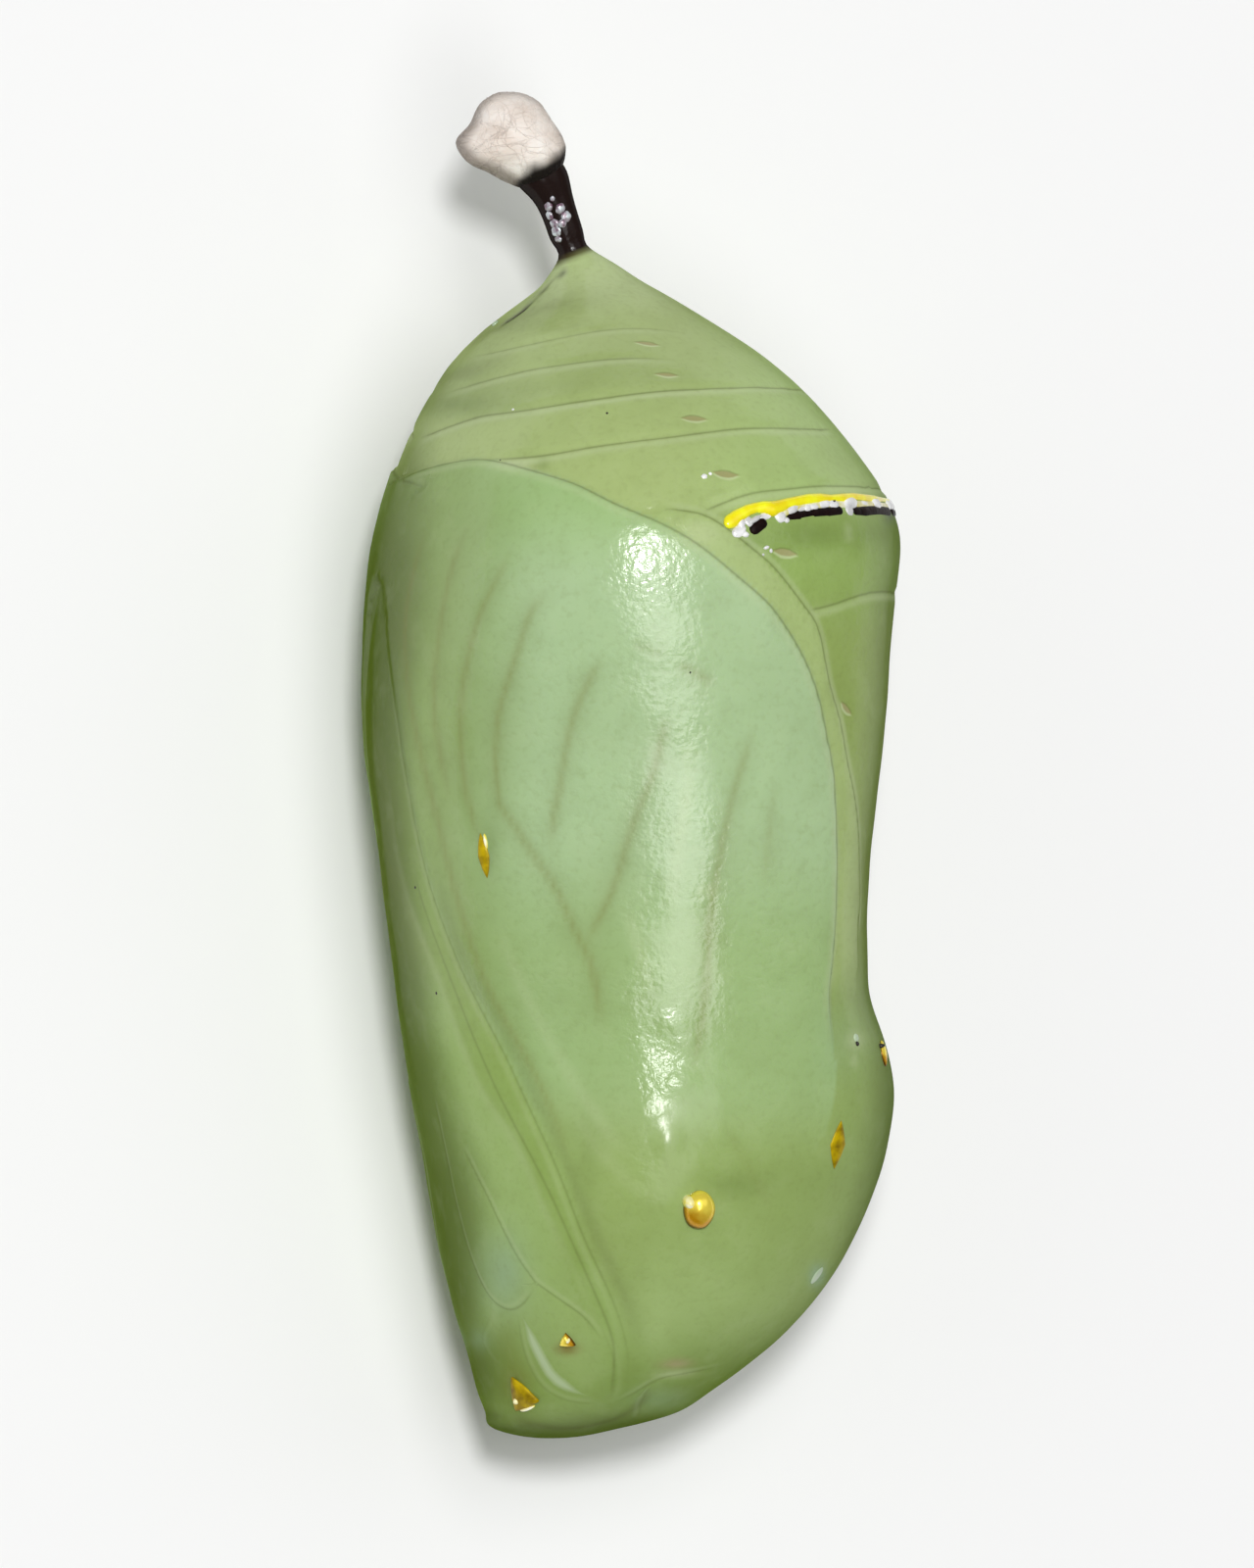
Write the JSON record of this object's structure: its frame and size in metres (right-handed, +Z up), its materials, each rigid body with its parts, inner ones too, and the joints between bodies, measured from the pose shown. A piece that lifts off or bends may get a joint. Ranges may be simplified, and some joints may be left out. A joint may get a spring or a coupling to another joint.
{
  "type": "monarch butterfly chrysalis",
  "caption": "Pale green butterfly chrysalis lying on its side, with a beaded gold and black band, gold knobs, a short black stalk and the small silk button it hung from.",
  "frame": {"origin": "centre of the bounding box's bottom face, on the surface that the chrysalis lies on", "axes": "+Y from the head to the stalk and the silk button, +X from the belly to the back, +Z up, out of the animal's right side"},
  "size_m": [0.0112, 0.0284, 0.012],
  "materials": {
    "pupa_skin": "waxy, slightly translucent pale green skin with a soft gloss, gold and black spots and a black stalk",
    "silk": "matted cream silk threads"
  },
  "bodies": {
    "root": {"pupa": "pupa_skin", "silk_pad": "silk"}
  },
  "joints": []
}
